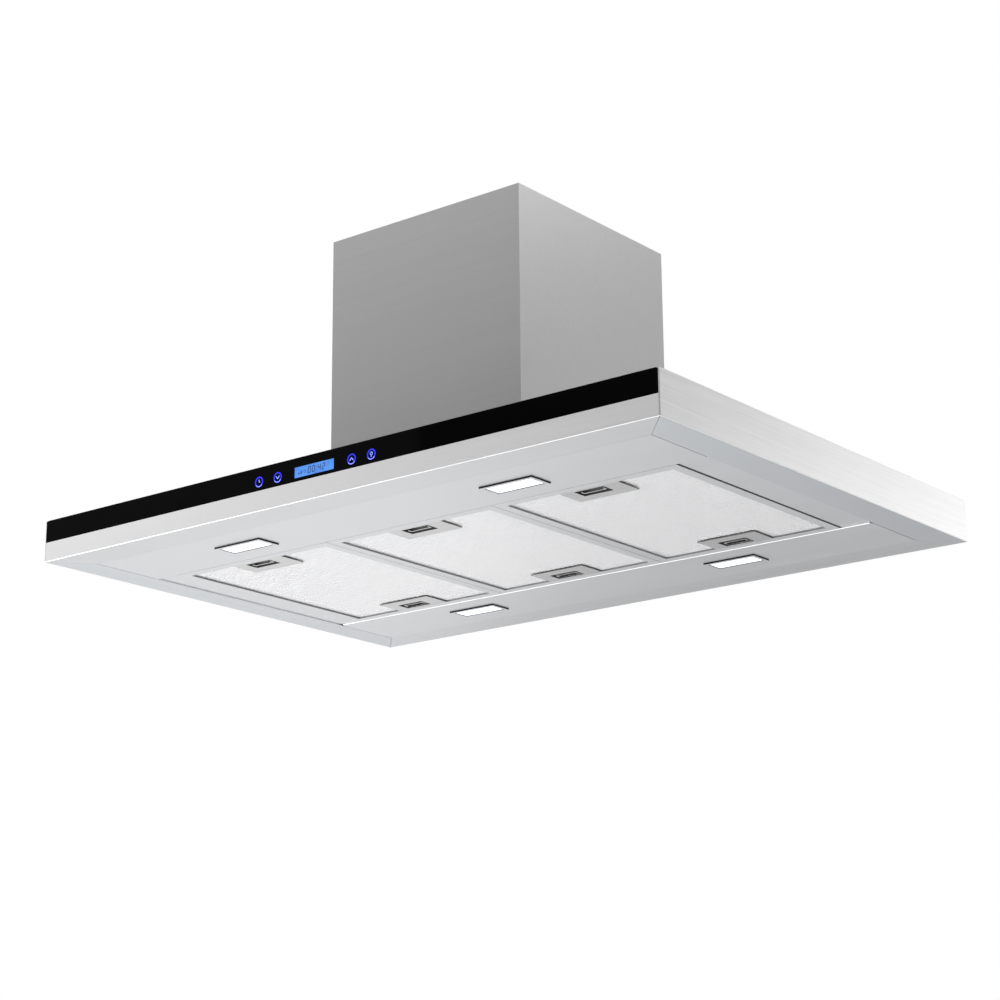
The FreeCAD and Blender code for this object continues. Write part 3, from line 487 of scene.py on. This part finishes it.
def stroke(a, b, width):
    """A straight stroke between two points, as a four-sided outline."""
    ax, az = a
    bx, bz = b
    length = math.hypot(bx - ax, bz - az)
    nx, nz = -(bz - az) / length * width / 2, (bx - ax) / length * width / 2
    return [(ax + nx, az + nz), (bx + nx, bz + nz), (bx - nx, bz - nz), (ax - nx, az - nz)]


def ring(x, z, radius, width, start=0, sweep=360, steps=28):
    """A ring or part of one, as four-sided outlines."""
    made = []
    for k in range(steps):
        a = math.radians(start + sweep * k / steps)
        b = math.radians(start + sweep * (k + 1) / steps)
        made.append([(x + math.cos(t) * r, z + math.sin(t) * r) for r, t in
                     ((radius - width, a), (radius, a), (radius, b), (radius - width, b))])
    return made


def segment_digit(x, z, height, on):
    """A leaning seven-segment digit with its lower left corner at x, z."""
    wide, thick, lean = height * 0.5, height * 0.13, 0.12
    middle = height / 2
    ends = {"a": ((0, height), (wide, height)), "b": ((wide, height), (wide, middle)),
            "c": ((wide, middle), (wide, 0)), "d": ((0, 0), (wide, 0)), "e": ((0, 0), (0, middle)),
            "f": ((0, middle), (0, height)), "g": ((0, middle), (wide, middle))}
    made = []
    for key in on:
        (ax, az), (bx, bz) = ends[key]
        made.append(stroke((x + ax + az * lean, z + az), (x + bx + bz * lean, z + bz), thick))
    return made


DIGITS = {"0": "abcdef", "2": "abged", "4": "fgbc"}
DIGITS_START, DIGIT_HEIGHT, DIGIT_STEP = 0.020, 0.0066, 0.0062
COLON_STEP, DOT_RISE, DOT_HALF = 0.0022, 0.0014, 0.0004
BAR_START, BAR_STEP, BAR_WIDTH, BAR_FOOT, BAR_HEAD = 0.006, 0.0022, 0.0010, 0.0030, 0.0010
SYMBOL_X, SYMBOL_DROP, SYMBOL_RADIUS, SYMBOL_WIDTH = 0.0150, 0.0005, 0.0017, 0.0005
icon_glow = lit("icon_glow", (0.35, 0.45, 1.0), 1.2, (0.25, 0.35, 1.0), 300)
digit_ink = moulded("digit_ink", (0.01, 0.03, 0.12), 0.4, 700)

lo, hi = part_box("display_module")
panel_z = (lo.z + hi.z) / 2
screen = piece("display_screen", "hood", "display")
raised(screen, [[(lo.x, lo.z), (hi.x, lo.z), (hi.x, hi.z), (lo.x, hi.z)]])
digits = []
cursor = lo.x + DIGITS_START
for character in "00:42":
    if character == ":":
        for dot_z in (panel_z - DOT_RISE, panel_z + DOT_RISE):
            left, right_edge = cursor - DOT_HALF, cursor + DOT_HALF
            bottom, top = dot_z - DOT_HALF, dot_z + DOT_HALF
            digits.append([(left, bottom), (right_edge, bottom), (right_edge, top), (left, top)])
        cursor += COLON_STEP
    else:
        digits += segment_digit(cursor, panel_z - DIGIT_HEIGHT / 2, DIGIT_HEIGHT, DIGITS[character])
        cursor += DIGIT_STEP
for k in range(3):
    bar_x = lo.x + BAR_START + k * BAR_STEP
    bar_head = panel_z - BAR_HEAD + k * BAR_STEP / 2
    digits.append(stroke((bar_x, panel_z - BAR_FOOT), (bar_x, bar_head), BAR_WIDTH))
digits += ring(lo.x + SYMBOL_X, panel_z - SYMBOL_DROP, SYMBOL_RADIUS, SYMBOL_WIDTH, steps=12)
marks = piece("display_digits", "hood", "display", digit_ink)
raised(marks, digits, INK_THICKNESS, INK_FACE)

key_lo, key_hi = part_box("touch_pads")
key_middle = (key_lo.x + key_hi.x) / 2
key_z = (key_lo.z + key_hi.z) / 2
KEY_STEPS = {"power": -0.0835, "slower": -0.055, "faster": 0.055, "light": 0.0835}
RING_RADIUS, RING_WIDTH = 0.0062, 0.0016
ARC_RADIUS, ARC_WIDTH, ARC_START, ARC_SWEEP = 0.0058, 0.0006, 215, 110
ARC_THICKNESS = 0.0002
ICON_STROKE = 0.0008
ARROW_HALF, ARROW_RISE = 0.0026, 0.0016
for key, key_step in KEY_STEPS.items():
    x = key_middle + key_step
    halo = piece("key_ring_" + key, "hood", "light_guide")
    raised(halo, ring(x, key_z, RING_RADIUS, RING_WIDTH))
    arc = piece("key_arc_" + key, "hood", "light_guide", icon_glow)
    raised(arc, ring(x, key_z, ARC_RADIUS, ARC_WIDTH, ARC_START, ARC_SWEEP, 12), ARC_THICKNESS)
    if key == "power":
        strokes = [stroke((x, key_z + 0.0005), (x, key_z + 0.0026), ICON_STROKE),
                   stroke((x, key_z - 0.0002), (x + 0.0016, key_z - 0.0002), ICON_STROKE)]
    elif key in ("slower", "faster"):
        tip = ARROW_RISE if key == "faster" else -ARROW_RISE
        strokes = [stroke((x - ARROW_HALF, key_z - tip), (x, key_z + tip), ICON_STROKE),
                   stroke((x, key_z + tip), (x + ARROW_HALF, key_z - tip), ICON_STROKE)]
    else:
        strokes = ring(x, key_z + 0.0008, 0.0020, 0.0006, steps=12)
        strokes += [stroke((x - 0.0008, key_z - 0.0022), (x + 0.0008, key_z - 0.0022), 0.0007)]
    icon = piece("key_icon_" + key, "hood", "light_guide", icon_glow)
    raised(icon, strokes)

# ------------------------------------------------------------------ studio
FLOOR_Z = -1.7
FLOOR_HALF = 30
FILL = 0.342
floor_finish = moulded("floor_paint", (0.86, 0.86, 0.86), 0.7, 40, 0.0002)
floor = bpy.data.objects.new("floor", bpy.data.meshes.new("floor"))
floor_corners = [(x * FLOOR_HALF, y * FLOOR_HALF, FLOOR_Z)
                 for x, y in ((-1, -1), (1, -1), (1, 1), (-1, 1))]
floor.data.from_pydata(floor_corners, [], [(0, 1, 2, 3)])
floor.data.materials.append(floor_finish)
scene.collection.objects.link(floor)

world = bpy.data.worlds.new("studio")
world.use_nodes = True
tree = world.node_tree
fill_light = tree.nodes["Background"]
fill_light.inputs["Color"].default_value = (1, 1, 1, 1)
fill_light.inputs["Strength"].default_value = FILL
backdrop = tree.nodes.new("ShaderNodeBackground")
path = tree.nodes.new("ShaderNodeLightPath")
choice = tree.nodes.new("ShaderNodeMixShader")
tree.links.new(path.outputs["Is Camera Ray"], choice.inputs["Fac"])
tree.links.new(fill_light.outputs["Background"], choice.inputs[1])
tree.links.new(backdrop.outputs["Background"], choice.inputs[2])
tree.links.new(choice.outputs["Shader"], tree.nodes["World Output"].inputs["Surface"])
backdrop.inputs["Color"].default_value = (1, 1, 1, 1)
scene.world = world


def softbox(name, place, aim, width, height, power):
    light = bpy.data.lights.new(name, "AREA")
    light.shape = "RECTANGLE"
    light.size, light.size_y = width, height
    light.energy = power
    item = bpy.data.objects.new(name, light)
    item.location = place
    item.rotation_euler = (Vector(aim) - Vector(place)).to_track_quat("-Z", "Y").to_euler()
    scene.collection.objects.link(item)


# Name, place, aim, width, height and power.
SOFTBOXES = (
    ("left_low_front", (-1.7, -0.9, -0.9), (-0.2, -0.1, 0.0), 1.4, 1.0, 20.0),
    ("left_low_back", (-1.6, 1.0, -0.8), (-0.2, 0.1, 0.0), 1.4, 1.0, 3.4),
    ("right_back", (1.4, 1.7, 0.2), (0.45, 0.3, 0.05), 1.0, 1.0, 4.6),
    ("chimney_front_high", (-0.8, -1.2, 1.3), (0.0, -0.144, 0.35), 0.8, 0.8, 0.9),
    ("chimney_right_high", (1.3, 0.7, 1.3), (0.144, 0.0, 0.35), 0.8, 0.8, 4.6),
    ("below", (0.0, 0.0, -1.6), (0.0, 0.0, 0.0), 3.0, 3.0, 32.0),
    ("above", (0.0, 0.0, 3.0), (0.0, 0.0, 0.0), 2.5, 2.5, 12.0),
    ("right_back_high", (1.8, 2.4, 1.7), (0.1, 0.0, 0.3), 1.5, 1.5, 0.8),
    ("front_low_right", (0.9, -2.6, -1.2), (0.1, -0.1, 0.0), 1.4, 1.0, 20.0),
    ("fascia_left", (-2.6, -2.3, 0.8), (-0.3, -0.3, 0.0), 1.6, 1.2, 4.7),
)
for name, place, aim, width, height, power in SOFTBOXES:
    softbox(name, place, aim, width, height, power)
